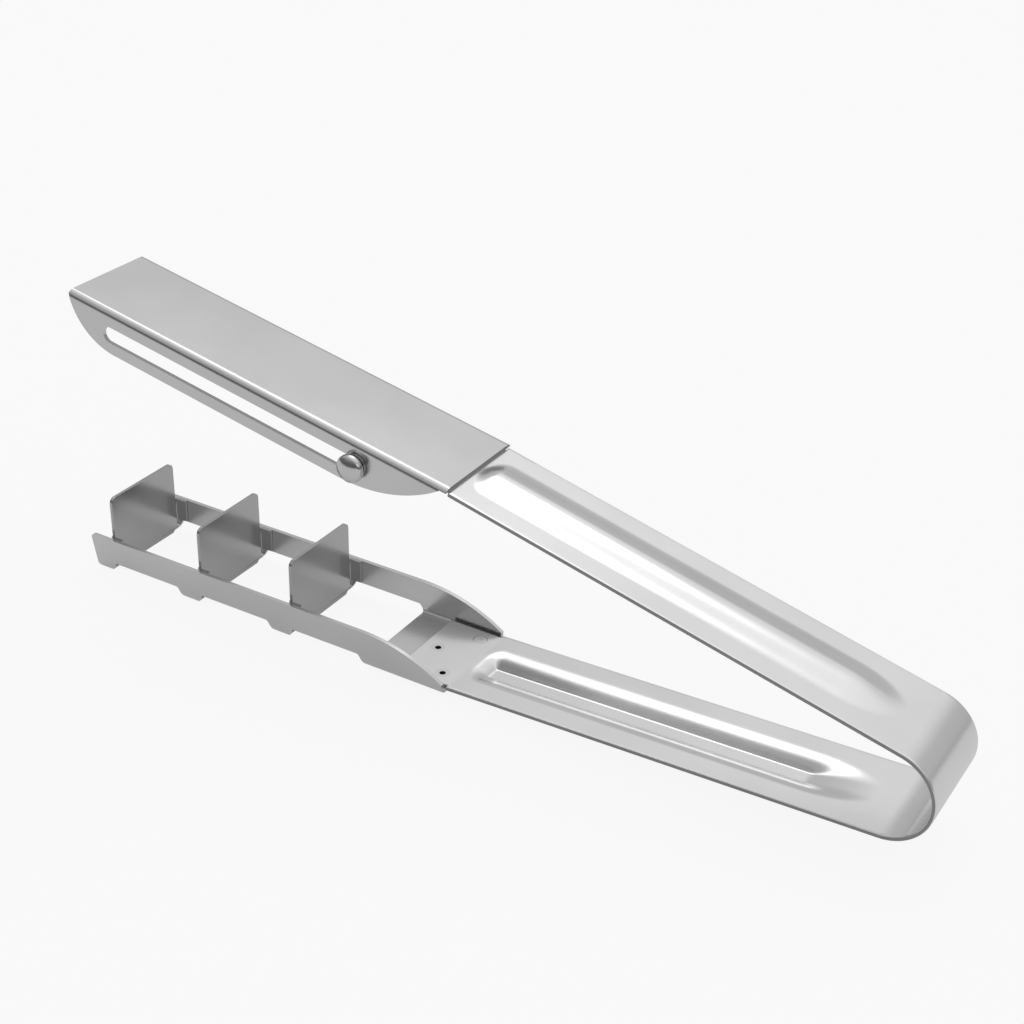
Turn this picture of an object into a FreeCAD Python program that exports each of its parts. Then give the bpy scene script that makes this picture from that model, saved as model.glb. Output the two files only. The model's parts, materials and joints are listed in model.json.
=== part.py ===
"""Spring-tong garlic press: a strip bent into a U, a slotted channel cover and a three-blade frame.

The lower arm, the bend and the upper arm are one spring strip. The lower arm carries an open frame
with three upright blades. The upper arm carries a channel cover whose two flanges are slotted for a
sliding cross pin. Units are millimetres, +Z is up, +X runs towards the bend, +Y is the far side.
"""
import FreeCAD, Part
import math
import os
import Sketcher
from FreeCAD import Placement, Rotation, Vector

SIZES = [
    # spring strip
    ("strip_width", 25.0, "width of the spring strip"),
    ("strip_thickness", 1.0, "thickness of the spring strip"),
    ("bend_inner_radius", 10.0, "inside radius of the U bend"),
    ("opening_angle", 15.8, "angle between the two arms at rest, degrees"),
    ("lower_arm_length", 102.5, "lower arm from the pad to the bend"),
    ("upper_arm_length", 107.5, "upper arm from the bend to the cover"),
    # stiffening beads
    ("bead_width", 14.6, "width of a bead at the strip's surface"),
    ("bead_depth", 2.0, "how far a bead is pressed out"),
    ("bead_wall_run", 2.7, "horizontal run of a bead's sloping wall"),
    ("bead_corner_cut", 2.6, "how far a bead's plan corners are cut off at 45 degrees"),
    ("lower_bead_start", 2.0, "from the pad to the lower bead"),
    ("lower_bead_end", 8.0, "from the lower bead to the bend"),
    ("upper_bead_start", 3.5, "from the cover to the upper bead"),
    ("upper_bead_end", 10.0, "from the upper bead to the bend"),
    # pad at the front of the lower arm
    ("pad_length", 14.0, "length of the flat pad"),
    ("lower_jaw_tilt", 1.9, "angle by which the lower jaw rises from its arm, degrees"),
    # lower jaw frame
    ("frame_width", 26.8, "outer width of the frame"),
    ("frame_thickness", 1.0, "sheet thickness of the frame"),
    ("frame_fold_radius", 0.8, "inside radius of the frame's folds"),
    ("rail_height", 9.2, "height of a rail's top edge above the feet"),
    ("rail_clearance", 2.8, "height of a rail's lower edge above the feet"),
    ("rail_front_reach", 5.9, "how far a rail's top reaches past the front blade"),
    ("rail_tail_radius", 35.0, "radius of the rail's falling rear end"),
    ("base_length", 20.8, "length of the base plate"),
    ("base_rear_gap", 0.5, "from the base plate's rear end to the pad's end"),
    # blades
    ("blade_pitch", 27.3, "distance from one blade to the next"),
    ("blade_rear_distance", 43.3, "rear blade to the pad's rear end"),
    ("blade_thickness", 0.8, "sheet thickness of a blade"),
    ("blade_height", 19.6, "height of a blade above the feet"),
    ("blade_side_gap", 1.1, "from a blade's edge to the rail"),
    ("blade_corner_radius", 1.5, "radius of a blade's top corners"),
    ("blade_foot_chamfer", 1.6, "chamfer of a blade's bottom corners"),
    ("tab_length", 3.0, "length of a blade's end tab along the rail"),
    ("tab_play", 0.05, "play between tab and rail"),
    ("tab_notch", 0.6, "relief notch below a tab"),
    ("foot_length", 3.4, "length of a cross member along the jaw"),
    # rivets in the pad
    ("rivet_shank_radius", 1.1, "radius of a rivet's shank"),
    ("rivet_head_radius", 1.65, "radius of a rivet's flush head"),
    ("rivet_head_height", 0.35, "height of a rivet's flush head"),
    ("rivet_tail_radius", 1.9, "radius of a rivet's tail under the base plate"),
    ("rivet_tail_height", 0.6, "height of a rivet's tail"),
    ("rivet_bore_radius", 0.7, "bore of a tubular rivet"),
    ("rivet_front_setback", 3.9, "front rivet, from the pad's front edge"),
    ("rivet_rear_setback", 10.4, "rear rivets, from the pad's front edge"),
    ("rivet_side_offset", 8.1, "rear rivets, from the centre line"),
    # channel cover
    ("cover_length", 105.7, "length of the cover"),
    ("cover_width", 26.6, "outer width of the cover"),
    ("cover_setback", 0.1, "from the end of the full-width arm to the cover"),
    ("cover_thickness", 1.0, "sheet thickness of the cover"),
    ("cover_depth", 10.6, "height of the cover's flanges"),
    ("cover_fold_radius", 0.8, "inside radius of the cover's folds"),
    ("upper_jaw_tilt", 2.35, "angle by which the upper jaw dips from its arm, degrees"),
    ("tongue_length", 30.0, "length of the strip's tongue under the cover"),
    ("tongue_side_gap", 1.0, "from the tongue's edge to the flange"),
    ("flange_nose_start", 14.9, "from the cover's front end to the start of the nose arc"),
    ("flange_nose_radius", 16.0, "radius of the flange's nose"),
    ("flange_tail_start", 26.5, "from the cover's rear end to the start of the tail arc"),
    ("flange_tail_radius", 37.0, "radius of the flange's tail"),
    # slots and slider
    ("slot_height", 4.0, "height of a slot"),
    ("slot_depth", 5.9, "slot's centre line below the cover's top"),
    ("slot_rear", 21.1, "from the cover's rear end to the slot"),
    ("slot_front", 11.2, "from the cover's front end to the slot"),
    ("pin_clearance", 0.15, "play between pin and slot"),
    ("head_gap", 0.15, "play between flange and washer"),
    ("washer_radius", 2.7, "outer radius of a washer"),
    ("washer_thickness", 0.7, "thickness of a washer"),
    ("washer_bore_play", 0.05, "play between washer and pin"),
    ("head_radius", 3.3, "radius of a slider head"),
    ("head_rim", 1.1, "height of a head's straight rim"),
    ("head_dome", 1.3, "height of a head's dome"),
    ("stub_radius", 1.2, "radius of the pin's riveted end"),
    ("stub_length", 0.9, "length of the pin's riveted end"),
]

# lengths that follow from the sizes
RUN = "Sizes.bead_wall_run"
DEPTH = "Sizes.bead_depth"
THICK = "Sizes.strip_thickness"
BEAD_SHIFT = f"({THICK} * tan(atan({DEPTH} / {RUN}) / 2))"
PAD_HALF = "(Sizes.frame_width / 2 - Sizes.frame_thickness - Sizes.frame_fold_radius)"
FRAME_FOLD_OUT = "(Sizes.frame_fold_radius + Sizes.frame_thickness)"
RAIL_INNER = "(Sizes.frame_width / 2 - Sizes.frame_thickness)"
COVER_OUTER = "(Sizes.cover_width / 2)"
COVER_INNER = "(Sizes.cover_width / 2 - Sizes.cover_thickness)"
COVER_FOLD_OUT = "(Sizes.cover_fold_radius + Sizes.cover_thickness)"
FLANGE_TOP = "(-Sizes.cover_fold_radius)"
FLANGE_BOTTOM = "(Sizes.cover_thickness - Sizes.cover_depth)"
SLOT_LEVEL = "(Sizes.cover_thickness - Sizes.slot_depth)"
PIN_RADIUS = "(Sizes.slot_height / 2 - Sizes.pin_clearance)"
WASHER_START = f"({COVER_OUTER} + Sizes.head_gap)"
HEAD_START = f"({WASHER_START} + Sizes.washer_thickness)"
SLOT_REAR = "(-Sizes.slot_rear - Sizes.slot_height / 2)"
SLOT_FRONT = "(Sizes.slot_front + Sizes.slot_height / 2 - Sizes.cover_length)"
BLADE_NAMES = ["rear", "middle", "front"]


def make_sheet(doc):
    """Write every size into the spreadsheet, one row each."""
    sheet = doc.addObject("Spreadsheet::Sheet", "Sizes")
    for row, (alias, value, meaning) in enumerate(SIZES, start=1):
        sheet.set(f"A{row}", meaning)
        sheet.set(f"B{row}", str(value))
        sheet.setAlias(f"B{row}", alias)
    doc.recompute()
    return sheet


def measure(owner, expression):
    """Return the value of an expression of the sheet's sizes."""
    return float(owner.evalExpression(str(expression)))


def new_body(doc, label):
    body = doc.addObject("PartDesign::Body", label)
    body.Label = label
    return body


def new_sketch(body, name, role, offset="0"):
    """Add a sketch on one of the body's own origin planes, moved along the plane's normal."""
    sketch = body.newObject("Sketcher::SketchObject", name)
    plane = next(item for item in body.Origin.OriginFeatures if item.Role == role)
    sketch.AttachmentSupport = [(plane, "")]
    sketch.MapMode = "FlatFace"
    sketch.setExpression("AttachmentOffset.Base.z", offset)
    return sketch


def pin_point(sketch, geometry, end, x, y):
    """Fix one end point of a sketch line or arc at expressions for x and y."""
    for kind, axis, expression in (("DistanceX", -2, x), ("DistanceY", -1, y)):
        if expression == "0":
            sketch.addConstraint(Sketcher.Constraint("PointOnObject", geometry, end, axis))
            continue
        value = measure(sketch, expression)
        index = sketch.addConstraint(Sketcher.Constraint(kind, -1, 1, geometry, end, value))
        sketch.setExpression(f"Constraints[{index}]", expression)


def arc_between(start, finish, radius, side):
    """Return the circular arc from start to finish whose centre lies on the given side."""
    chord = finish - start
    half = chord.Length / 2
    height = math.sqrt(max(radius * radius - half * half, 0.0))
    left = Vector(-chord.y, chord.x, 0).normalize()
    centre = start + chord / 2 + left * (height if side == "left" else -height)
    first, last = (start, finish) if side == "left" else (finish, start)
    angles = [math.atan2(point.y - centre.y, point.x - centre.x) for point in (first, last)]
    circle = Part.Circle(centre, Vector(0, 0, 1), radius)
    return Part.ArcOfCircle(circle, angles[0], angles[1])


def outline(sketch, corners):
    """Draw a closed outline. A corner is (x, y) or (x, y, radius, side) where an arc leaves it."""
    points = [Vector(measure(sketch, corner[0]), measure(sketch, corner[1]), 0) for corner in corners]
    edges = []
    for number, corner in enumerate(corners):
        start = points[number]
        finish = points[(number + 1) % len(corners)]
        if len(corner) == 2:
            index = sketch.addGeometry(Part.LineSegment(start, finish))
            edges.append((index, 1, 2))
            continue
        radius, side = corner[2], corner[3]
        index = sketch.addGeometry(arc_between(start, finish, measure(sketch, radius), side))
        edges.append((index, 1, 2) if side == "left" else (index, 2, 1))
    for number, (index, start_end, finish_end) in enumerate(edges):
        following, following_start = edges[(number + 1) % len(edges)][:2]
        sketch.addConstraint(Sketcher.Constraint("Coincident", index, finish_end, following, following_start))
    for (index, start_end, finish_end), corner in zip(edges, corners):
        pin_point(sketch, index, start_end, corner[0], corner[1])
        if len(corner) == 4:
            value = measure(sketch, corner[2])
            number = sketch.addConstraint(Sketcher.Constraint("Radius", index, value))
            sketch.setExpression(f"Constraints[{number}]", corner[2])


def cut_rectangle(sketch, x0, x1, half_width, cut):
    """Draw a rectangle with corners cut off at 45 degrees, symmetric about the sketch's x axis."""
    left_in, right_in = f"(({x0}) + ({cut}))", f"(({x1}) - ({cut}))"
    side, side_in = f"({half_width})", f"(({half_width}) - ({cut}))"
    outline(sketch, [
        (left_in, f"(-{side})"), (right_in, f"(-{side})"), (f"({x1})", f"(-{side_in})"),
        (f"({x1})", side_in), (right_in, side), (left_in, side),
        (f"({x0})", side_in), (f"({x0})", f"(-{side_in})"),
    ])


def slot_outline(sketch, x0, x1, level, height):
    """Draw a slot with round ends whose end centres are x0 and x1 at the given level."""
    radius = measure(sketch, f"({height}) / 2")
    y = measure(sketch, level)
    left, right = measure(sketch, x0), measure(sketch, x1)
    arcs = []
    for x, start in ((left, math.pi / 2), (right, -math.pi / 2)):
        circle = Part.Circle(Vector(x, y, 0), Vector(0, 0, 1), radius)
        arcs.append(sketch.addGeometry(Part.ArcOfCircle(circle, start, start + math.pi)))
    bottom = sketch.addGeometry(Part.LineSegment(Vector(left, y - radius, 0), Vector(right, y - radius, 0)))
    top = sketch.addGeometry(Part.LineSegment(Vector(right, y + radius, 0), Vector(left, y + radius, 0)))
    for first, first_end, second, second_end in (
            (arcs[0], 2, bottom, 1), (bottom, 2, arcs[1], 1), (arcs[1], 2, top, 1), (top, 2, arcs[0], 1)):
        sketch.addConstraint(Sketcher.Constraint("Tangent", first, first_end, second, second_end))
    sketch.addConstraint(Sketcher.Constraint("Equal", arcs[0], arcs[1]))
    number = sketch.addConstraint(Sketcher.Constraint("Radius", arcs[0], radius))
    sketch.setExpression(f"Constraints[{number}]", f"({height}) / 2")
    pin_point(sketch, arcs[0], 3, x0, level)
    pin_point(sketch, arcs[1], 3, x1, level)


def extrude(body, sketch, kind, length, side="One side", reverse=False):
    """Pad or pocket a sketch by a length."""
    feature = body.newObject(f"PartDesign::{kind}", f"{body.Label}_{kind}_{len(body.Group)}")
    feature.Profile = sketch
    feature.Type = "Length"
    feature.SideType = side
    feature.Reversed = reverse
    feature.setExpression("Length", length)
    return feature


def loft(body, kind, first, last):
    """Loft between two sketches."""
    feature = body.newObject(f"PartDesign::{kind}", f"{body.Label}_{kind}_{len(body.Group)}")
    feature.Profile = first
    feature.Sections = [last]
    feature.Ruled = True
    return feature


def revolve(body, sketch, role, angle="360", reverse=False):
    """Revolve a sketch about one of the body's own axes."""
    feature = body.newObject("PartDesign::Revolution", f"{body.Label}_turned")
    feature.Profile = sketch
    axis = next(item for item in body.Origin.OriginFeatures if item.Role == role)
    feature.ReferenceAxis = (axis, [""])
    feature.Reversed = reverse
    feature.setExpression("Angle", angle)
    return feature


def press_bead(body, x0, x1, surface, direction):
    """Press a bead through a strip: its hollow starts at the surface, its crown stands out behind it."""
    sign = "-1" if direction == "down" else "1"
    back = f"({surface} + {sign} * {THICK})"
    crown_inside = f"({surface} + {sign} * {DEPTH})"
    crown_outside = f"({surface} + {sign} * ({DEPTH} + {THICK}))"
    half = "Sizes.bead_width / 2"
    shrink = "(2 - sqrt(2))"
    shapes = [
        ("AdditiveLoft", back, BEAD_SHIFT, "0"),
        ("AdditiveLoft", crown_outside, BEAD_SHIFT, RUN),
        ("SubtractiveLoft", surface, "0", "0"),
        ("SubtractiveLoft", crown_inside, "0", RUN),
    ]
    sketches = []
    for number, (kind, level, grow, inset) in enumerate(shapes):
        sketch = new_sketch(body, f"{body.Label}_bead_{number}", "XY_Plane", level)
        edge = f"({inset} - {grow})"
        cut = f"Sizes.bead_corner_cut - {shrink} * {edge}"
        cut_rectangle(sketch, f"{x0} + {edge}", f"{x1} - {edge}", f"{half} - {edge}", cut)
        sketches.append(sketch)
    loft(body, "AdditiveLoft", sketches[0], sketches[1])
    loft(body, "SubtractiveLoft", sketches[2], sketches[3])


def make_lower_arm(doc):
    """Lower limb: origin on the upper surface where the tilted pad meets the level arm."""
    body = new_body(doc, "lower_arm")
    tilt = "Sizes.lower_jaw_tilt"
    arm = new_sketch(body, "lower_arm_plan", "XY_Plane", f"-{THICK}")
    half = "Sizes.strip_width / 2"
    outline(arm, [("0", f"-{half}"), ("Sizes.lower_arm_length", f"-{half}"),
                  ("Sizes.lower_arm_length", half), ("0", half)])
    extrude(body, arm, "Pad", THICK)
    pad = new_sketch(body, "lower_arm_pad", "XZ_Plane")
    front = f"-Sizes.pad_length * cos({tilt})"
    rise = f"Sizes.pad_length * sin({tilt})"
    outline(pad, [("0", "0"), (front, rise),
                  (f"{front} - {THICK} * sin({tilt})", f"{rise} - {THICK} * cos({tilt})"),
                  (f"-{THICK} * tan({tilt} / 2)", f"-{THICK}"), ("Sizes.base_rear_gap", f"-{THICK}"),
                  ("Sizes.base_rear_gap", "0")])
    extrude(body, pad, "Pad", f"2 * {PAD_HALF}", "Symmetric")
    press_bead(body, "Sizes.lower_bead_start", "(Sizes.lower_arm_length - Sizes.lower_bead_end)", "0", "down")
    for name, x, y in rivet_places():
        for depth, radius in ((f"2 * {THICK}", "Sizes.rivet_shank_radius"),
                              ("Sizes.rivet_head_height", "Sizes.rivet_head_radius")):
            hole = new_sketch(body, f"lower_arm_hole_{name}", "XY_Plane")
            hole.AttachmentOffset = Placement(Vector(), Rotation(Vector(0, 1, 0), measure(body, tilt)))
            circle(hole, x, y, radius)
            extrude(body, hole, "Pocket", depth)
    return body


def rivet_places():
    """Return each rivet's name and its place from the pad's rear end."""
    front = "(Sizes.rivet_front_setback - Sizes.pad_length)"
    rear = "(Sizes.rivet_rear_setback - Sizes.pad_length)"
    return [("front", front, "0"), ("near", rear, "-Sizes.rivet_side_offset"),
            ("far", rear, "Sizes.rivet_side_offset")]


def circle(sketch, x, y, radius):
    """Draw one circle whose centre and radius are expressions."""
    value = measure(sketch, radius)
    centre = Vector(measure(sketch, x), measure(sketch, y), 0)
    index = sketch.addGeometry(Part.Circle(centre, Vector(0, 0, 1), value))
    pin_point(sketch, index, 3, x, y)
    number = sketch.addConstraint(Sketcher.Constraint("Radius", index, value))
    sketch.setExpression(f"Constraints[{number}]", radius)


def make_spring_bend(doc):
    """U bend: origin on the bend's own axis, turned from straight down to the upper arm."""
    body = new_body(doc, "spring_bend")
    section = new_sketch(body, "spring_bend_section", "YZ_Plane")
    half = "Sizes.strip_width / 2"
    inner = "-Sizes.bend_inner_radius"
    outer = f"(-Sizes.bend_inner_radius - {THICK})"
    outline(section, [(f"-{half}", outer), (half, outer), (half, inner), (f"-{half}", inner)])
    revolve(body, section, "Y_Axis", "180 - Sizes.opening_angle", reverse=True)
    return body


def make_upper_arm(doc):
    """Upper limb: origin at the bend's end, on the strip's inner surface."""
    body = new_body(doc, "upper_arm")
    length = "Sizes.upper_arm_length"
    half = "Sizes.strip_width / 2"
    arm = new_sketch(body, "upper_arm_plan", "XY_Plane")
    outline(arm, [(f"-{length}", f"-{half}"), ("0", f"-{half}"), ("0", half), (f"-{length}", half)])
    extrude(body, arm, "Pad", THICK)
    tongue = new_sketch(body, "upper_arm_tongue", "XZ_Plane")
    tilt = "Sizes.upper_jaw_tilt"
    tip = f"(-{length} - Sizes.tongue_length * cos({tilt}))"
    drop = f"(-Sizes.tongue_length * sin({tilt}))"
    root = f"({THICK} - {length})"
    outline(tongue, [(root, THICK), (f"-{length}", THICK), (tip, f"{THICK} + {drop}"),
                     (f"{tip} + {THICK} * sin({tilt})", f"{drop} + {THICK} - {THICK} * cos({tilt})"),
                     (f"{THICK} * tan({tilt} / 2) - {length}", "0"), (root, "0")])
    width = f"2 * ({COVER_INNER} - Sizes.tongue_side_gap)"
    extrude(body, tongue, "Pad", width, "Symmetric")
    press_bead(body, f"-{length} + Sizes.upper_bead_start", "-Sizes.upper_bead_end", "0", "up")
    return body


def folded_floor(sketch):
    """Draw the frame's section: a flat floor with a quarter-round fold at each side."""
    half = "Sizes.frame_width / 2"
    flat = f"({half} - {FRAME_FOLD_OUT})"
    thick = "Sizes.frame_thickness"
    inner = "Sizes.frame_fold_radius"
    outline(sketch, [
        (f"-{half}", FRAME_FOLD_OUT, FRAME_FOLD_OUT, "left"), (f"-{flat}", "0"),
        (flat, "0", FRAME_FOLD_OUT, "left"), (half, FRAME_FOLD_OUT),
        (RAIL_INNER, FRAME_FOLD_OUT, inner, "right"), (flat, thick),
        (f"-{flat}", thick, inner, "right"), (f"-{RAIL_INNER}", FRAME_FOLD_OUT),
    ])


def blade_place(number):
    """Return the distance from the pad's rear end to a blade's rear face, rear blade first."""
    return f"(Sizes.blade_rear_distance + {number} * Sizes.blade_pitch)"


def make_base_plate(doc):
    """Floor of the frame under the pad: origin below the pad's rear end, on the underside."""
    body = new_body(doc, "frame_base_plate")
    section = new_sketch(body, "frame_base_section", "YZ_Plane", "-(Sizes.base_rear_gap + Sizes.base_length)")
    folded_floor(section)
    extrude(body, section, "Pad", "Sizes.base_length")
    for name, x, y in rivet_places():
        hole = new_sketch(body, f"frame_base_hole_{name}", "XY_Plane")
        circle(hole, x, y, "Sizes.rivet_shank_radius")
        extrude(body, hole, "Pocket", "4 * Sizes.frame_thickness", "Symmetric")
    return body


def make_cross_member(doc, name, number):
    """One foot of the frame, in front of a blade: same origin as the base plate."""
    body = new_body(doc, f"frame_cross_{name}")
    start = f"-({blade_place(number)} + Sizes.blade_thickness + Sizes.foot_length)"
    section = new_sketch(body, f"frame_cross_{name}_section", "YZ_Plane", start)
    folded_floor(section)
    extrude(body, section, "Pad", "Sizes.foot_length")
    return body


def make_rail(doc, name, offset):
    """One side rail, from its slanted front end to its falling rear end."""
    body = new_body(doc, f"frame_rail_{name}")
    side = new_sketch(body, f"frame_rail_{name}_side", "XZ_Plane", offset)
    low = FRAME_FOLD_OUT
    high = "Sizes.rail_height"
    clear = "Sizes.rail_clearance"
    corners = []
    for number in (2, 1, 0):
        rear = f"-({blade_place(number)} + Sizes.blade_thickness)"
        front = f"({rear} - Sizes.foot_length)"
        corners += [(front, low), (rear, low), (rear, clear)]
        if number:
            following = f"-({blade_place(number - 1)} + Sizes.blade_thickness + Sizes.foot_length)"
            corners.append((following, clear))
    base_front = "-(Sizes.base_rear_gap + Sizes.base_length)"
    tail_end = "-(2 * Sizes.base_rear_gap)"
    drop = f"({high} - {low})"
    tail_start = f"({tail_end} - sqrt(2 * Sizes.rail_tail_radius * {drop} - {drop} * {drop}))"
    corners += [(base_front, clear), (base_front, low), (tail_end, low, "Sizes.rail_tail_radius", "left"),
                (tail_start, high), (f"-({blade_place(2)} + Sizes.rail_front_reach)", high)]
    outline(side, corners)
    extrude(body, side, "Pad", "Sizes.frame_thickness")
    return body


def make_blade(doc, name):
    """One blade: origin at foot level on its rear face, end tabs bent rearwards along the rails."""
    body = new_body(doc, f"blade_{name}")
    panel = new_sketch(body, f"blade_{name}_panel", "YZ_Plane", "-Sizes.blade_thickness")
    half = f"({RAIL_INNER} - Sizes.blade_side_gap)"
    top = "Sizes.blade_height"
    corner = "Sizes.blade_corner_radius"
    chamfer = "Sizes.blade_foot_chamfer"
    outline(panel, [
        (f"{chamfer} - {half}", "0"), (f"{half} - {chamfer}", "0"), (half, chamfer),
        (half, f"{top} - {corner}", corner, "left"), (f"{half} - {corner}", top),
        (f"{corner} - {half}", top, corner, "left"), (f"-{half}", f"{top} - {corner}"),
        (f"-{half}", chamfer),
    ])
    extrude(body, panel, "Pad", "Sizes.blade_thickness")
    outer_radius = "(Sizes.blade_side_gap - Sizes.tab_play)"
    inner_radius = f"({outer_radius} - Sizes.blade_thickness)"
    turn = f"({outer_radius} - Sizes.blade_thickness)"
    for sign, first, second in (("", "right", "left"), ("-", "left", "right")):
        tab = new_sketch(body, f"blade_{name}_tab", "XY_Plane", "Sizes.rail_clearance + Sizes.tab_notch")
        edge = f"{sign}{half}"
        face = f"{sign}({half} + {outer_radius})"
        inside = f"{sign}({half} + {inner_radius})"
        outline(tab, [
            ("-Sizes.blade_thickness", edge, outer_radius, first), (turn, face),
            ("Sizes.tab_length", face), ("Sizes.tab_length", inside),
            (turn, inside, inner_radius, second), ("0", edge),
        ])
        extrude(body, tab, "Pad", "Sizes.rail_height - Sizes.rail_clearance - Sizes.tab_notch")
    return body


def make_rivet(doc, label, bore):
    """One rivet: origin on the pad's surface at the rivet's axis."""
    body = new_body(doc, label)
    profile = new_sketch(body, f"{label}_profile", "XZ_Plane")
    head = "Sizes.rivet_head_radius"
    shank = "Sizes.rivet_shank_radius"
    tail = "Sizes.rivet_tail_radius"
    under_head = "-Sizes.rivet_head_height"
    grip = f"(-{THICK} - Sizes.frame_thickness)"
    end = f"({grip} - Sizes.rivet_tail_height)"
    outline(profile, [(bore, "0"), (head, "0"), (head, under_head), (shank, under_head),
                      (shank, grip), (tail, grip), (tail, end), (bore, end)])
    revolve(body, profile, "Z_Axis")
    return body


def make_cover_top(doc):
    """Top of the channel cover: origin on its underside at its rear edge."""
    body = new_body(doc, "cover_top")
    section = new_sketch(body, "cover_top_section", "YZ_Plane", "-Sizes.cover_length")
    half = COVER_OUTER
    flat = f"({half} - {COVER_FOLD_OUT})"
    thick = "Sizes.cover_thickness"
    inner = "Sizes.cover_fold_radius"
    outline(section, [
        (half, FLANGE_TOP, COVER_FOLD_OUT, "left"), (flat, thick),
        (f"-{flat}", thick, COVER_FOLD_OUT, "left"), (f"-{half}", FLANGE_TOP),
        (f"-{COVER_INNER}", FLANGE_TOP, inner, "right"), (f"-{flat}", "0"),
        (flat, "0", inner, "right"), (COVER_INNER, FLANGE_TOP),
    ])
    extrude(body, section, "Pad", "Sizes.cover_length")
    return body


def arc_reach(radius):
    """Return how far an arc that leaves the flange's lower edge runs until it meets the fold."""
    rise = f"({FLANGE_TOP} - {FLANGE_BOTTOM})"
    return f"sqrt(2 * {radius} * {rise} - {rise} * {rise})"


def make_flange(doc, name, offset):
    """One slotted side flange of the cover."""
    body = new_body(doc, f"cover_flange_{name}")
    side = new_sketch(body, f"cover_flange_{name}_side", "XZ_Plane", offset)
    nose = "(Sizes.flange_nose_start - Sizes.cover_length)"
    tail = "(-Sizes.flange_tail_start)"
    nose_radius = "Sizes.flange_nose_radius"
    tail_radius = "Sizes.flange_tail_radius"
    outline(side, [
        (f"{nose} - {arc_reach(nose_radius)}", FLANGE_TOP, nose_radius, "left"),
        (nose, FLANGE_BOTTOM), (tail, FLANGE_BOTTOM, tail_radius, "left"),
        (f"{tail} + {arc_reach(tail_radius)}", FLANGE_TOP),
    ])
    extrude(body, side, "Pad", "Sizes.cover_thickness")
    slot = new_sketch(body, f"cover_flange_{name}_slot", "XZ_Plane", offset)
    slot_outline(slot, SLOT_FRONT, SLOT_REAR, SLOT_LEVEL, "Sizes.slot_height")
    extrude(body, slot, "Pocket", "4 * Sizes.cover_thickness", "Symmetric")
    return body


def make_slider_pin(doc):
    """Cross pin: origin at its middle, axis along Y."""
    body = new_body(doc, "slider_pin")
    profile = new_sketch(body, "slider_pin_profile", "XY_Plane")
    stub = "Sizes.stub_radius"
    end = f"({HEAD_START} + Sizes.stub_length)"
    outline(profile, [("0", f"-{end}"), (stub, f"-{end}"), (stub, f"-{HEAD_START}"),
                      (PIN_RADIUS, f"-{HEAD_START}"), (PIN_RADIUS, HEAD_START),
                      (stub, HEAD_START), (stub, end), ("0", end)])
    revolve(body, profile, "Y_Axis")
    return body


def make_washer(doc, name, start, finish):
    """One washer between a flange and a head, about the pin's axis."""
    body = new_body(doc, f"slider_washer_{name}")
    profile = new_sketch(body, f"slider_washer_{name}_profile", "XY_Plane")
    bore = f"({PIN_RADIUS} + Sizes.washer_bore_play)"
    outer = "Sizes.washer_radius"
    outline(profile, [(bore, start), (outer, start), (outer, finish), (bore, finish)])
    revolve(body, profile, "Y_Axis")
    return body


def make_head(doc, name):
    """One domed head: origin on its flat face, dome towards +Y."""
    body = new_body(doc, f"slider_head_{name}")
    profile = new_sketch(body, f"slider_head_{name}_profile", "XY_Plane")
    radius = "Sizes.head_radius"
    rim = "Sizes.head_rim"
    dome = "Sizes.head_dome"
    dome_radius = f"(({radius} * {radius} + {dome} * {dome}) / (2 * {dome}))"
    stub = "Sizes.stub_radius"
    depth = "Sizes.stub_length"
    outline(profile, [(stub, "0"), (radius, "0"), (radius, rim, dome_radius, "left"),
                      ("0", f"{rim} + {dome}"), ("0", depth), (stub, depth)])
    revolve(body, profile, "Y_Axis")
    return body


def group(doc, label, members):
    """Join identical pieces into one node of separate solids."""
    node = doc.addObject("Part::Compound", label)
    node.Label = label
    node.Links = members
    return node


def turned(angle):
    """Return a turn about Y: a positive angle raises the front end."""
    return Placement(Vector(), Rotation(Vector(0, 1, 0), angle))


def moved(x, y, z):
    return Placement(Vector(x, y, z), Rotation())


class Layout:
    """Placements of the assembly, from the lower arm's own frame to the frame at rest."""

    def __init__(self, sheet):
        def size(expression):
            return measure(sheet, expression)
        self.jaw = turned(size("Sizes.lower_jaw_tilt")) * moved(0, 0, -size(f"{THICK} + Sizes.frame_thickness"))
        self.pad = turned(size("Sizes.lower_jaw_tilt"))
        self.bend = moved(size("Sizes.lower_arm_length"), 0, size("Sizes.bend_inner_radius"))
        arm_end = moved(0, 0, size("Sizes.bend_inner_radius"))
        self.upper = self.bend * turned(size("Sizes.opening_angle")) * arm_end
        cover_start = moved(-size("Sizes.upper_arm_length"), 0, size(THICK))
        dip = turned(-size("Sizes.upper_jaw_tilt"))
        self.cover = self.upper * cover_start * dip * moved(-size("Sizes.cover_setback"), 0, 0)
        self.slider = self.cover * moved(size(SLOT_REAR), 0, size(SLOT_LEVEL))
        self.slot_travel = size(f"{SLOT_REAR} - {SLOT_FRONT}")
        foot = f"-({blade_place(2)} + Sizes.blade_thickness + Sizes.foot_length)"
        front_contact = self.jaw.multVec(Vector(size(foot), 0, 0))
        rear_contact = Vector(size(f"Sizes.lower_bead_start + {RUN} - {BEAD_SHIFT}"), 0,
                              -size(f"{THICK} + {DEPTH}"))
        slope = math.atan2(front_contact.z - rear_contact.z, rear_contact.x - front_contact.x)
        self.rest = turned(-math.degrees(slope))
        self.rest = moved(0, 0, -self.rest.multVec(front_contact).z) * self.rest

    def centre(self, nodes):
        """Move the assembly so that the origin is the middle of its box, on the surface it stands on."""
        bounds = FreeCAD.BoundBox()
        for node, place in nodes:
            shape = node.Shape.copy()
            shape.Placement = self.rest * place
            bounds.add(shape.optimalBoundingBox(False, False))
        self.rest = moved(-bounds.Center.x, 0, 0) * self.rest


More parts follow.
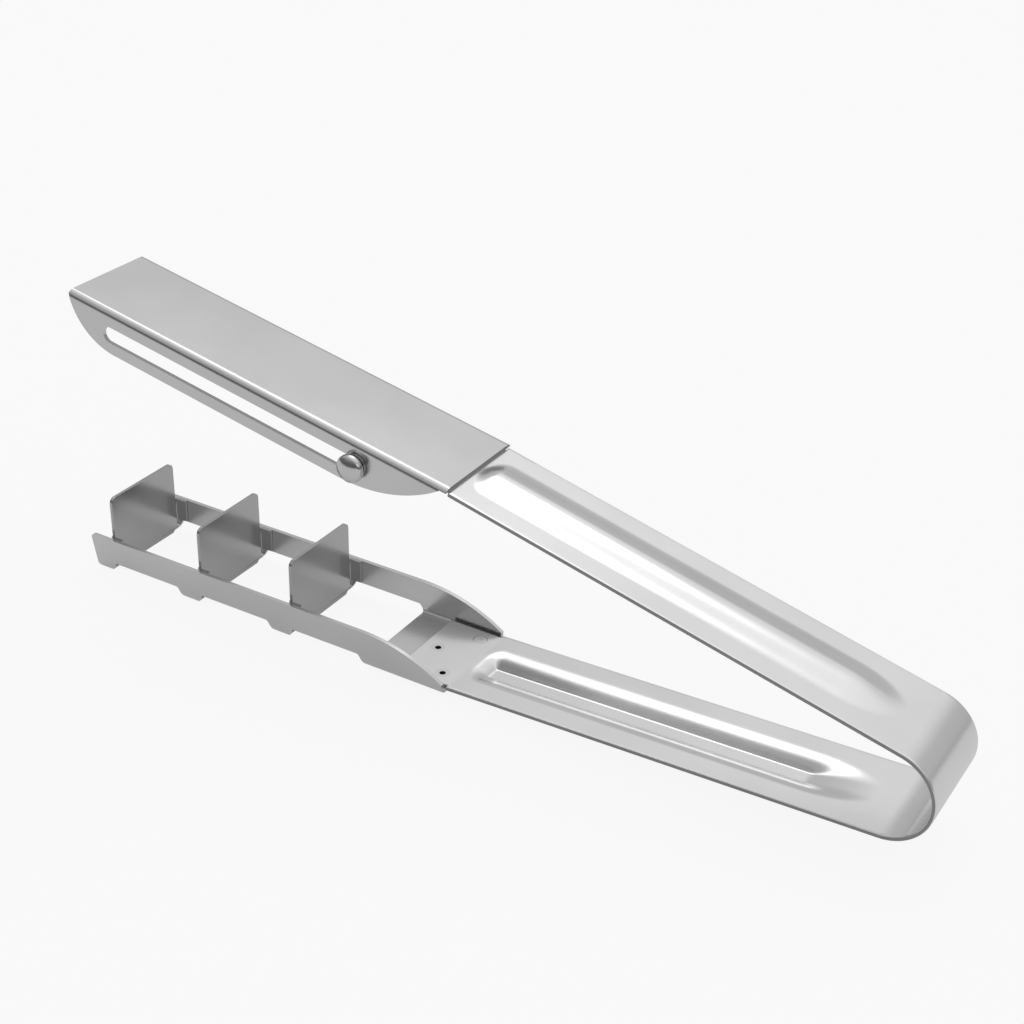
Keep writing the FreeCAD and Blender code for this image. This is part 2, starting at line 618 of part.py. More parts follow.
def main():
    """Build every sub-part, place it, check it and write its file."""
    doc = FreeCAD.newDocument("garlic_press")
    sheet = make_sheet(doc)
    layout = Layout(sheet)
    near_offset, far_offset = RAIL_INNER, "-Sizes.frame_width / 2"
    nodes = [
        (make_lower_arm(doc), Placement()),
        (make_spring_bend(doc), layout.bend),
        (make_base_plate(doc), layout.jaw),
        (make_rail(doc, "near", near_offset), layout.jaw),
        (make_rail(doc, "far", far_offset), layout.jaw),
    ]
    for number, name in enumerate(BLADE_NAMES):
        nodes.append((make_cross_member(doc, name, number), layout.jaw))
        place = moved(-measure(sheet, blade_place(number)), 0, 0)
        nodes.append((make_blade(doc, name), layout.jaw * place))
    tubular = []
    for name, x, y in rivet_places():
        place = moved(measure(sheet, x), measure(sheet, y), 0)
        if name == "far":
            nodes.append((make_rivet(doc, "pad_rivet", "0"), layout.pad * place))
            continue
        rivet = make_rivet(doc, f"pad_tubular_rivet_{name}", "Sizes.rivet_bore_radius")
        rivet.Placement = place
        tubular.append(rivet)
    nodes.append((group(doc, "pad_tubular_rivets", tubular), layout.pad))
    nodes.append((make_upper_arm(doc), layout.upper))
    nodes.append((make_cover_top(doc), layout.cover))
    nodes.append((make_flange(doc, "near", COVER_INNER), layout.cover))
    nodes.append((make_flange(doc, "far", f"-{COVER_OUTER}"), layout.cover))
    nodes.append((make_slider_pin(doc), layout.slider))
    washers = [make_washer(doc, "near", f"-{HEAD_START}", f"-{WASHER_START}"),
               make_washer(doc, "far", WASHER_START, HEAD_START)]
    nodes.append((group(doc, "slider_washers", washers), layout.slider))
    head_start = measure(sheet, HEAD_START)
    half_turn = Placement(Vector(), Rotation(Vector(0, 0, 1), 180))
    nodes.append((make_head(doc, "near"), layout.slider * half_turn * moved(0, head_start, 0)))
    nodes.append((make_head(doc, "far"), layout.slider * moved(0, head_start, 0)))
    doc.recompute()
    layout.centre(nodes)
    for node, place in nodes:
        node.Placement = layout.rest * place
    doc.recompute()
    check_document(doc, [node for node, place in nodes])
    write_nodes([node for node, place in nodes])
    report_joints(layout)


def check_document(doc, nodes):
    """Stop if any object failed or any sub-part is empty or not valid."""
    failed = [item.Label for item in doc.Objects if {"Invalid", "Error"} & set(item.State)]
    if failed:
        raise RuntimeError(f"objects that failed: {failed}")
    for node in nodes:
        expected = len(node.Links) if node.TypeId == "Part::Compound" else 1
        if node.Shape.isNull() or not node.Shape.isValid() or len(node.Shape.Solids) != expected:
            raise RuntimeError(f"{node.Label} has {len(node.Shape.Solids)} solids, not {expected} valid ones")


def write_nodes(nodes):
    """Write one STEP file per sub-part."""
    os.makedirs("parts", exist_ok=True)
    for node in nodes:
        node.Shape.exportStep(os.path.join("parts", f"{node.Label}.step"))


def report_joints(layout):
    """Print where the joints lie, in millimetres in the assembled frame."""
    hinge = (layout.rest * layout.bend).Base
    slide = layout.rest * layout.slider
    forward = slide.Rotation.multVec(Vector(-1, 0, 0))
    print("squeeze axis passes", tuple(round(value, 4) for value in hinge))
    print("slider at", tuple(round(value, 4) for value in slide.Base))
    print("slides along", tuple(round(value, 6) for value in forward), "by", round(layout.slot_travel, 3))


main()
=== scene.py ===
"""Looks of a spring-tong garlic press: folded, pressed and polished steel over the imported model."""
import json
import logging
import math
from collections.abc import Iterable
from dataclasses import dataclass
from enum import Enum

import bmesh
import bpy
from mathutils import Matrix, Vector


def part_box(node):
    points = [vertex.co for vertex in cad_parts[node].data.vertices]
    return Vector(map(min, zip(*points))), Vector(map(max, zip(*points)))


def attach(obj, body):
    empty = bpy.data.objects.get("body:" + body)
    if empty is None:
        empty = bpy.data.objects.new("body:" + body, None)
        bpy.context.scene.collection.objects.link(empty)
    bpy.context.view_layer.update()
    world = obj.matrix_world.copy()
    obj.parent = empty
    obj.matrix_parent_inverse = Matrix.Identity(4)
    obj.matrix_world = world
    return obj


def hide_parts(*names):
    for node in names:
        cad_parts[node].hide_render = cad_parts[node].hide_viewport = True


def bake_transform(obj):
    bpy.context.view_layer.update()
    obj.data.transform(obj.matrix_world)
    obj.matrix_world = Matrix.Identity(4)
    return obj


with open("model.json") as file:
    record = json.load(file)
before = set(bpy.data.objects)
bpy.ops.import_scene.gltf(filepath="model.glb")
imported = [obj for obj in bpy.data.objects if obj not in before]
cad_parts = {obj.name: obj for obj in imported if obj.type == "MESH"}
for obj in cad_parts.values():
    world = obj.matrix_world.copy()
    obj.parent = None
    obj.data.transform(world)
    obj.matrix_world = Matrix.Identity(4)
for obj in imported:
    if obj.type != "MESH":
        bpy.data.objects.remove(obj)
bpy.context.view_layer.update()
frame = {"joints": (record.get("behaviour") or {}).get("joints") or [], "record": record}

MM = 0.001
WELD = 0.001 * MM
CARVE_WELD = 0.002 * MM
CUT_SNAP = 0.01 * MM
ROUNDED_TURN = math.radians(50.0)
SHARP_TURN = math.radians(40.0)
STRONG_FACES = 100
TRAY_POWER = 1.7
LOG = logging.getLogger("garlic_press")

Outline = list[tuple[float, float]]


class Body(Enum):
    """The bodies that a piece can ride on."""

    LOWER = "lower"
    UPPER = "upper"
    SLIDER = "slider"


class Plane(Enum):
    """The plane an outline is drawn in, by its first, second and normal axes."""

    SIDE = (0, 2, 1)
    PLAN = (0, 1, 2)
    FRONT = (1, 2, 0)

    def point(self, first: float, second: float, level: float) -> Vector:
        """Return the point of an outline at a level along the plane's normal.

        Args:
            first: The outline's first coordinate.
            second: The outline's second coordinate.
            level: The distance along the normal.

        Returns:
            The point in the piece's own frame.
        """
        point = Vector((0.0, 0.0, 0.0))
        for axis, value in zip(self.value, (first, second, level)):
            point[axis] = value
        return point


class Grain(Enum):
    """Where a brushed grain takes its coordinates from."""

    OBJECT = "Object"
    SHEET = "UV"


class Carving(Enum):
    """What one solid does to another: keep what is inside it, or take that away."""

    KEEP = "INTERSECT"
    TAKE = "DIFFERENCE"


class Pressing(Enum):
    """A pressed wall: a swell is soft all over, a tray has a soft shoulder and a crisp floor."""

    SWELL = "swell"
    TRAY = "tray"

    def rise(self, share: float) -> float:
        """Return how deep the wall is part of the way down.

        Args:
            share: The share of the wall's width.

        Returns:
            The share of its full depth.
        """
        return share ** TRAY_POWER if self is Pressing.TRAY else ease(share)


def ease(share: float) -> float:
    """Return a share that leaves 0 and arrives at 1 level.

    Args:
        share: A value from 0 to 1.

    Returns:
        The eased value.
    """
    return share * share * (3 - 2 * share)


def grey(tone: float) -> tuple[float, float, float, float]:
    """Return an opaque grey.

    Args:
        tone: Its linear value.

    Returns:
        The colour.
    """
    return (tone, tone, tone, 1.0)


def noise(tree: bpy.types.NodeTree, place: bpy.types.NodeSocket, scale: float,
          detail: float) -> bpy.types.NodeSocket:
    """Add a noise texture to a material.

    Args:
        tree: The material's nodes.
        place: The socket that its coordinates come from.
        scale: Its scale.
        detail: Its detail.

    Returns:
        The socket of its values.
    """
    texture = tree.nodes.new("ShaderNodeTexNoise")
    texture.inputs["Scale"].default_value = scale
    texture.inputs["Detail"].default_value = detail
    tree.links.new(place, texture.inputs["Vector"])
    return texture.outputs["Fac"]


@dataclass(frozen=True)
class SteelFinish:
    """A steel surface: tint, roughness and the fine lines of its brushing."""

    name: str
    tint: float
    roughness: float
    grain: Grain = Grain.OBJECT
    line_scale: tuple[float, float, float] = (30.0, 2600.0, 2600.0)
    line_detail: float = 3.0
    line_depth: float = 0.06
    line_height: float = 0.0007 * MM
    mottle_scale: float = 55.0
    mottle_detail: float = 2.0
    mottle_depth: float = 0.03
    mottle_span: tuple[float, float] = (0.3, 0.7)

    def material(self) -> bpy.types.Material:
        """Build the node material.

        Returns:
            The material, ready to be put on a piece.
        """
        material = bpy.data.materials.new(self.name)
        material.use_nodes = True
        tree = material.node_tree
        nodes, links = tree.nodes, tree.links
        shader = nodes["Principled BSDF"]
        shader.inputs["Metallic"].default_value = 1.0
        place = nodes.new("ShaderNodeTexCoord")
        stretch = nodes.new("ShaderNodeMapping")
        stretch.inputs["Scale"].default_value = self.line_scale
        links.new(place.outputs[self.grain.value], stretch.inputs["Vector"])
        lines = noise(tree, stretch.outputs["Vector"], 1.0, self.line_detail)
        mottle = noise(tree, place.outputs["Object"], self.mottle_scale, self.mottle_detail)
        rough = nodes.new("ShaderNodeMapRange")
        rough.inputs["To Min"].default_value = self.roughness - self.line_depth / 2
        rough.inputs["To Max"].default_value = self.roughness + self.line_depth / 2
        links.new(lines, rough.inputs["Value"])
        links.new(rough.outputs["Result"], shader.inputs["Roughness"])
        shade = nodes.new("ShaderNodeValToRGB")
        tints = (self.tint * (1 - self.mottle_depth), self.tint * (1 + self.mottle_depth))
        for stop, position, tint in zip(shade.color_ramp.elements, self.mottle_span, tints):
            stop.position = position
            stop.color = grey(tint)
        links.new(mottle, shade.inputs["Fac"])
        links.new(shade.outputs["Color"], shader.inputs["Base Color"])
        bump = nodes.new("ShaderNodeBump")
        bump.inputs["Distance"].default_value = self.line_height
        links.new(lines, bump.inputs["Height"])
        links.new(bump.outputs["Normal"], shader.inputs["Normal"])
        return material


@dataclass(frozen=True)
class Place:
    """A sub-assembly's own frame: x runs rearwards, y to the far side, z up through the sheet."""

    origin: Vector
    rearward: Vector
    up: Vector

    def matrix(self) -> Matrix:
        """Return the matrix from the sub-assembly's frame to the model's."""
        turn = Matrix((self.rearward, Vector((0.0, 1.0, 0.0)), self.up)).transposed().to_4x4()
        return Matrix.Translation(self.origin) @ turn

    def moved(self, rearward: float, up: float = 0.0) -> "Place":
        """Return the same frame with its origin elsewhere.

        Args:
            rearward: How far the origin moves rearwards.
            up: How far it moves up.

        Returns:
            The moved frame.
        """
        origin = self.origin + self.rearward * rearward + self.up * up
        return Place(origin, self.rearward, self.up)


def stations(start: float, end: float, step: float) -> list[float]:
    """Return evenly spaced values from start to end.

    Args:
        start: The first value.
        end: The last value.
        step: The largest spacing.

    Returns:
        The values, both ends included.
    """
    count = max(1, math.ceil(abs(end - start) / step))
    return [start + (end - start) * number / count for number in range(count + 1)]


def arc(centre: tuple[float, float], radius: float, start: float, end: float,
        step: float) -> Outline:
    """Return points along a circular arc.

    Args:
        centre: The arc's centre.
        radius: The arc's radius.
        start: The first angle in degrees.
        end: The last angle in degrees.
        step: The largest turn between points in degrees.

    Returns:
        The points, both ends included.
    """
    return [(centre[0] + radius * math.cos(math.radians(angle)),
             centre[1] + radius * math.sin(math.radians(angle)))
            for angle in stations(start, end, step)]


def ogee(start: tuple[float, float], end: tuple[float, float], count: int = 8) -> Outline:
    """Return an S-shaped edge that leaves and arrives level.

    Args:
        start: The first point.
        end: The last point.
        count: The number of steps.

    Returns:
        The points, both ends included.
    """
    points = []
    for number in range(count + 1):
        share = number / count
        points.append((start[0] + (end[0] - start[0]) * share,
                       start[1] + (end[1] - start[1]) * ease(share)))
    return points


def channel_section(half: float, web: float, leg_end: float, sheet: float,
                    inner_radius: float) -> Outline:
    """Return the section of a sheet folded into a channel.

    Args:
        half: Half the channel's outer width.
        web: The level of the web's outer face.
        leg_end: The level at which the legs end.
        sheet: The sheet's thickness.
        inner_radius: The folds' inside radius.

    Returns:
        The closed section, with the folds as arcs.
    """
    fold = inner_radius + sheet
    side = 1.0 if leg_end > web else -1.0
    reach = abs(leg_end - web)

    def leg(edge: float, radius: float) -> Outline:
        """Return one face of a leg and its fold, from the leg's end to the web."""
        turn = arc((half - fold, 0.0), radius, 0.0, 90.0, 9.0)
        return [(edge, reach)] + [(x, fold - y) for x, y in turn]

    outer = leg(half, fold)
    inner = leg(half - sheet, inner_radius)
    far_outer = [(-x, y) for x, y in reversed(outer)]
    loop = outer + far_outer + [(-x, y) for x, y in inner] + inner[::-1]
    return [(x, web + side * y) for x, y in loop]


def thicken(bm: bmesh.types.BMesh, offset: Vector) -> None:
    """Extrude all faces of a flat mesh into a solid.

    Args:
        bm: The mesh.
        offset: How far its second side is from its first.
    """
    made = bmesh.ops.extrude_face_region(bm, geom=bm.faces[:])
    moved = [item for item in made["geom"] if isinstance(item, bmesh.types.BMVert)]
    bmesh.ops.translate(bm, verts=moved, vec=offset)
    bmesh.ops.recalc_face_normals(bm, faces=bm.faces)


def prism(outline: Outline, plane: Plane, low: float, high: float) -> bmesh.types.BMesh:
    """Extrude a closed outline along its plane's normal.

    Args:
        outline: The outline's points.
        plane: The plane it is drawn in.
        low: The level it starts from.
        high: The level it ends at.

    Returns:
        The closed solid.
    """
    bm = bmesh.new()
    bm.faces.new([bm.verts.new(plane.point(*corner, low)) for corner in outline])
    thicken(bm, plane.point(0.0, 0.0, high - low))
    return bm


def lathe(profile: Outline, steps: int) -> bmesh.types.BMesh:
    """Turn a profile about the y axis.

    Args:
        profile: Points as (radius, height along the axis), open at both ends or closed on itself.
        steps: The number of steps around.

    Returns:
        The turned shell with its doubles merged.
    """
    bm = bmesh.new()
    points = [bm.verts.new((radius, height, 0.0)) for radius, height in profile]
    edges = [bm.edges.new(pair) for pair in zip(points, points[1:])]
    bmesh.ops.spin(bm, geom=points + edges, cent=(0, 0, 0), axis=(0, 1, 0), angle=math.tau,
                   steps=steps, use_merge=True)
    bmesh.ops.remove_doubles(bm, verts=bm.verts, dist=WELD)
    bmesh.ops.recalc_face_normals(bm, faces=bm.faces)
    return bm


def as_object(bm: bmesh.types.BMesh, name: str) -> bpy.types.Object:
    """Put a bmesh into a new object of the scene.

    Args:
        bm: The mesh, which is freed.
        name: The object's name.

    Returns:
        The object at the origin.
    """
    mesh = bpy.data.meshes.new(name)
    bm.to_mesh(mesh)
    bm.free()
    piece = bpy.data.objects.new(name, mesh)
    bpy.context.scene.collection.objects.link(piece)
    return piece


def gather(*parts: bmesh.types.BMesh) -> bmesh.types.BMesh:
    """Put several solids into one mesh.

    Args:
        parts: The solids, which are freed.

    Returns:
        The mesh that holds them all.
    """
    whole = bmesh.new()
    for part in parts:
        mesh = bpy.data.meshes.new("part")
        part.to_mesh(mesh)
        part.free()
        whole.from_mesh(mesh)
        bpy.data.meshes.remove(mesh)
    return whole


def carve(base: bmesh.types.BMesh, tool: bmesh.types.BMesh,
          carving: Carving) -> bmesh.types.BMesh:
    """Combine two solids.

    Args:
        base: The solid to keep, which is freed.
        tool: The other solid, which is freed.
        carving: What the other solid does.

    Returns:
        The combined solid.
    """
    kept, cutter = as_object(base, "kept"), as_object(tool, "cutter")
    cut = kept.modifiers.new("cut", "BOOLEAN")
    cut.operation = carving.value
    cut.solver = "EXACT"
    cut.object = cutter
    bpy.context.view_layer.update()
    shaped = kept.evaluated_get(bpy.context.evaluated_depsgraph_get())
    bm = bmesh.new()
    bm.from_mesh(shaped.to_mesh())
    shaped.to_mesh_clear()
    for item in (kept, cutter):
        mesh = item.data
        bpy.data.objects.remove(item)
        bpy.data.meshes.remove(mesh)
    bmesh.ops.remove_doubles(bm, verts=bm.verts, dist=CARVE_WELD)
    return bm


def soften(bm: bmesh.types.BMesh, width: float, segments: int = 2) -> None:
    """Round the edges of a solid that turn more than ROUNDED_TURN, and close the gaps it leaves.

    Args:
        bm: The solid.
        width: The rounding's width.
        segments: The number of faces across it.
    """
    sharp = [edge for edge in bm.edges if edge.calc_face_angle(0.0) > ROUNDED_TURN]
    bmesh.ops.bevel(bm, geom=sharp, offset=width, offset_type="OFFSET", affect="EDGES",
                    segments=segments, profile=0.5, material=-1, clamp_overlap=True)
    gaps = [edge for edge in bm.edges if edge.is_boundary]
    bmesh.ops.holes_fill(bm, edges=gaps, sides=0)


def dress(piece: bpy.types.Object, finish: SteelFinish, stands_for: Iterable[str],
          body: Body | None) -> bpy.types.Object:
    """Give a finished piece its steel, its smooth shading and its place in the model.

    Args:
        piece: The piece.
        finish: Its surface.
        stands_for: The CAD nodes it replaces.
        body: The body it rides on, or None to leave it on neither body.

    Returns:
        The same piece.
    """
    piece.data.materials.append(finish.material())
    mesh = bmesh.new()
    mesh.from_mesh(piece.data)
    for face in mesh.faces:
        face.smooth = True
    for edge in mesh.edges:
        edge.smooth = edge.calc_face_angle(0.0) < SHARP_TURN
    mesh.to_mesh(piece.data)
    mesh.free()
    even = piece.modifiers.new("even_normals", "WEIGHTED_NORMAL")
    even.weight = STRONG_FACES
    even.keep_sharp = True
    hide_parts(*stands_for)
    if body is not None:
        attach(piece, body.value)
    LOG.info("%s: %d faces", piece.name, len(piece.data.polygons))
    return piece


@dataclass
class LowerJaw:
    """The open frame with its three blades, in a frame whose origin is below the pad's rear end."""

    place: Place
    half_width: float
    sheet: float = 1.0 * MM
    fold: float = 0.8 * MM
    rail_height: float = 9.2 * MM
    clearance: float = 2.8 * MM
    foot_length: float = 3.4 * MM
    foot_sweep: float = 2.4 * MM
    foot_heel: float = 2.2 * MM
    rear_blade: float = 43.3 * MM
    blade_pitch: float = 27.3 * MM
    blade_sheet: float = 0.8 * MM
    blade_height: float = 19.6 * MM
    blade_corner: float = 1.5 * MM
    blade_gap: float = 1.1 * MM
    blade_foot: float = 1.6 * MM
    tab_length: float = 3.0 * MM
    tab_play: float = 0.05 * MM
    tab_notch: float = 0.6 * MM
    rail_front: float = 103.8 * MM
    rail_corner: float = 0.9 * MM
    front_lean: float = 1.5 * MM
    front_lip: float = 0.9 * MM
    front_toe: float = 0.3 * MM
    base_start: float = 21.3 * MM
    base_end: float = 0.5 * MM
    tail_lead: float = 1.3 * MM
    tail_radius: float = 40.1 * MM
    edge: float = 0.14 * MM

    def foot_starts(self) -> list[float]:
        """Return where each foot starts, front foot first."""
        last = self.rear_blade + self.blade_sheet + self.foot_length
        return [-(last + number * self.blade_pitch) for number in (2, 1, 0)]

    def side_outline(self) -> Outline:
        """Return the frame's outline as it is seen from the side.

        Returns:
            The outline, along the feet and then back along the rails' top edge.
        """
        points: Outline = [(-self.rail_front + self.front_lean, self.front_lip)]
        for number, start in enumerate(self.foot_starts()):
            if number:
                points += ogee((start - self.foot_sweep, self.clearance), (start, 0.0))
            else:
                points.append((start + self.front_toe, 0.0))
            heel = start + self.foot_length
            points += ogee((heel, 0.0), (heel + self.foot_heel, self.clearance))
        base_sweep = (-self.base_start - self.foot_sweep, self.clearance)
        points += ogee(base_sweep, (-self.base_start, 0.0))
        points.append((-self.base_end, 0.0))
        tail_start = -self.base_start - self.tail_lead
        slope = math.degrees(math.asin((-self.base_end - tail_start) / self.tail_radius))
        points += arc((tail_start, self.rail_height - self.tail_radius), self.tail_radius,
                      90.0 - slope, 90.0, 2.0)
        corner = (-self.rail_front + self.rail_corner, self.rail_height - self.rail_corner)
        return points + arc(corner, self.rail_corner, 90.0, 180.0, 15.0)

    def build_frame(self, finish: SteelFinish) -> bpy.types.Object:
        """Fold the frame from one sheet.

        Args:
            finish: Its surface.

        Returns:
            The frame.
        """
        section = channel_section(self.half_width, 0.0, 2 * self.rail_height, self.sheet, self.fold)
        channel = prism(section, Plane.FRONT, -2 * self.rail_front, self.rail_front)
        side = prism(self.side_outline(), Plane.SIDE, -2 * self.half_width, 2 * self.half_width)
        bm = carve(channel, side, Carving.KEEP)
        soften(bm, self.edge)
        bmesh.ops.transform(bm, matrix=self.place.matrix(), verts=bm.verts)
        nodes = ["frame_base_plate", "frame_rail_near", "frame_rail_far"]
        nodes += [f"frame_cross_{name}" for name in ("front", "middle", "rear")]
        return dress(as_object(bm, "frame"), finish, nodes, Body.LOWER)

    def build_blade(self, name: str, number: int, finish: SteelFinish) -> bpy.types.Object:
        """Bend one blade with its two end tabs.

        Args:
            name: Which blade it is.
            number: Its place, counted from the rear blade.
            finish: Its surface.

        Returns:
            The blade.
        """
        half = self.half_width - self.sheet - self.blade_gap
        outer = self.blade_gap - self.tab_play
        tab = half + outer
        section = channel_section(tab, -self.blade_sheet, self.tab_length, self.blade_sheet,
                                  outer - self.blade_sheet)
        rear = -(self.rear_blade + number * self.blade_pitch)
        bent = prism([(x + rear, y) for y, x in section], Plane.PLAN, -self.blade_height,
                     2 * self.blade_height)
        low = self.clearance + self.tab_notch
        right = [(half - self.blade_foot, 0.0), (half, self.blade_foot), (half, low), (tab, low),
                 (tab, self.rail_height), (half, self.rail_height)]
        corner = (half - self.blade_corner, self.blade_height - self.blade_corner)
        right += arc(corner, self.blade_corner, 0.0, 90.0, 10.0)
        left = [(-y, z) for y, z in reversed(right)]
        face = prism(right + left, Plane.FRONT, -2 * self.rail_front, self.rail_front)
        bm = carve(bent, face, Carving.KEEP)
        soften(bm, self.edge)
        bmesh.ops.transform(bm, matrix=self.place.matrix(), verts=bm.verts)
        return dress(as_object(bm, f"blade_{name}_bent"), finish, [f"blade_{name}"],
                     Body.LOWER)


@dataclass
class Cover:
    """The channel cover, in a frame whose origin is on its underside at its rear edge."""

    place: Place
    half_width: float
    length: float = 105.7 * MM
    sheet: float = 1.0 * MM
    fold: float = 0.8 * MM
    depth: float = 10.6 * MM
    nose_start: float = 14.9 * MM
    nose_radius: float = 16.0 * MM
    tail_start: float = 26.5 * MM
    tail_radius: float = 37.0 * MM
    slot_height: float = 4.0 * MM
    slot_level: float = -4.9 * MM
    slot_rear: float = 23.1 * MM
    slot_travel: float = 69.4 * MM
    edge: float = 0.14 * MM
    square_on: float = 0.95

    def side_outline(self) -> Outline:
        """Return the cover's outline as it is seen from the side."""
        low = self.sheet - self.depth
        nose = (self.nose_start - self.length, low + self.nose_radius)
        tail = (-self.tail_start, low + self.tail_radius)
        nose_turn = math.degrees(math.acos(nose[1] / self.nose_radius))
        tail_turn = math.degrees(math.acos(tail[1] / self.tail_radius))
        points: Outline = [(0.0, self.sheet), (-self.length, self.sheet), (-self.length, 0.0)]
        points += arc(nose, self.nose_radius, 270.0 - nose_turn, 270.0, 3.0)
        points += arc(tail, self.tail_radius, 270.0, 270.0 + tail_turn, 2.0)
        return points + [(0.0, 0.0)]

    def slot_outline(self) -> Outline:
        """Return the outline of the slot in both flanges."""
        radius = self.slot_height / 2
        front = (-self.slot_rear - self.slot_travel, self.slot_level)
        rear = (-self.slot_rear, self.slot_level)
        return arc(front, radius, 90.0, 270.0, 10.0) + arc(rear, radius, 270.0, 450.0, 10.0)

    def build(self, finish: SteelFinish, cut: SteelFinish) -> bpy.types.Object:
        """Fold the cover from one sheet and cut its slots.

        Args:
            finish: Its surface.
            cut: The dark sheared steel of its rear end face, which paints the shadow of the gap under
                the cover's rear edge.

        Returns:
            The cover.
        """
        section = channel_section(self.half_width, self.sheet, -2 * self.depth, self.sheet,
                                  self.fold)
        channel = prism(section, Plane.FRONT, -2 * self.length, self.length)
        across = (Plane.SIDE, -2 * self.half_width, 2 * self.half_width)
        bm = carve(channel, prism(self.side_outline(), *across), Carving.KEEP)
        bm = carve(bm, prism(self.slot_outline(), *across), Carving.TAKE)
        soften(bm, self.edge)
        bm.normal_update()
        # the rear end face gets the dark sheared steel: painted shadow of the gap between the cover's
        # rear edge and the arm below
        for face in bm.faces:
            at_rear = face.calc_center_median().x > -self.edge
            face.material_index = int(at_rear and face.normal.x > self.square_on)
        bmesh.ops.transform(bm, matrix=self.place.matrix(), verts=bm.verts)
        nodes = ["cover_top", "cover_flange_near", "cover_flange_far"]
        piece = dress(as_object(bm, "cover"), finish, nodes, Body.UPPER)
        piece.data.materials.append(cut.material())
        return piece


@dataclass(frozen=True)
class BeadEnd:
    """One end of a bead: its station, its wall's run, and how the strip is divided there."""

    station: float
    run: float
    divided: float
    step: float


@dataclass(frozen=True)
class Bead:
    """A shallow trough pressed through the strip, between two stations along it."""

    start: BeadEnd
    end: BeadEnd
    pressing: Pressing
    side_run: float
    corner: float
    depth: float
    half_width: float = 7.3 * MM

    def lines(self) -> list[float]:
        """Return the stations at which the strip is divided at the bead's ends."""
        first, last = self.start, self.end
        return [*stations(first.station, first.station + first.divided, first.step),
                *stations(last.station - last.divided, last.station, last.step)]

    def press(self, along: float, across: float) -> float:
        """Return how far the strip is pressed out at a place on it.

        Args:
            along: The station along the strip.
            across: The distance from its middle.

        Returns:
            The depth, nothing outside the bead.
        """
        first, last = self.start, self.end
        near = first if along < (first.station + last.station) / 2 else last
        inside = min(along - first.station, last.station - along) * (self.side_run / near.run)
        aside = self.half_width - abs(across)
        if inside < self.corner and aside < self.corner:
            depth = self.corner - math.hypot(self.corner - inside, self.corner - aside)
        else:
            depth = min(inside, aside)
        share = min(max(depth / self.side_run, 0.0), 1.0)
        return self.depth * self.pressing.rise(share)


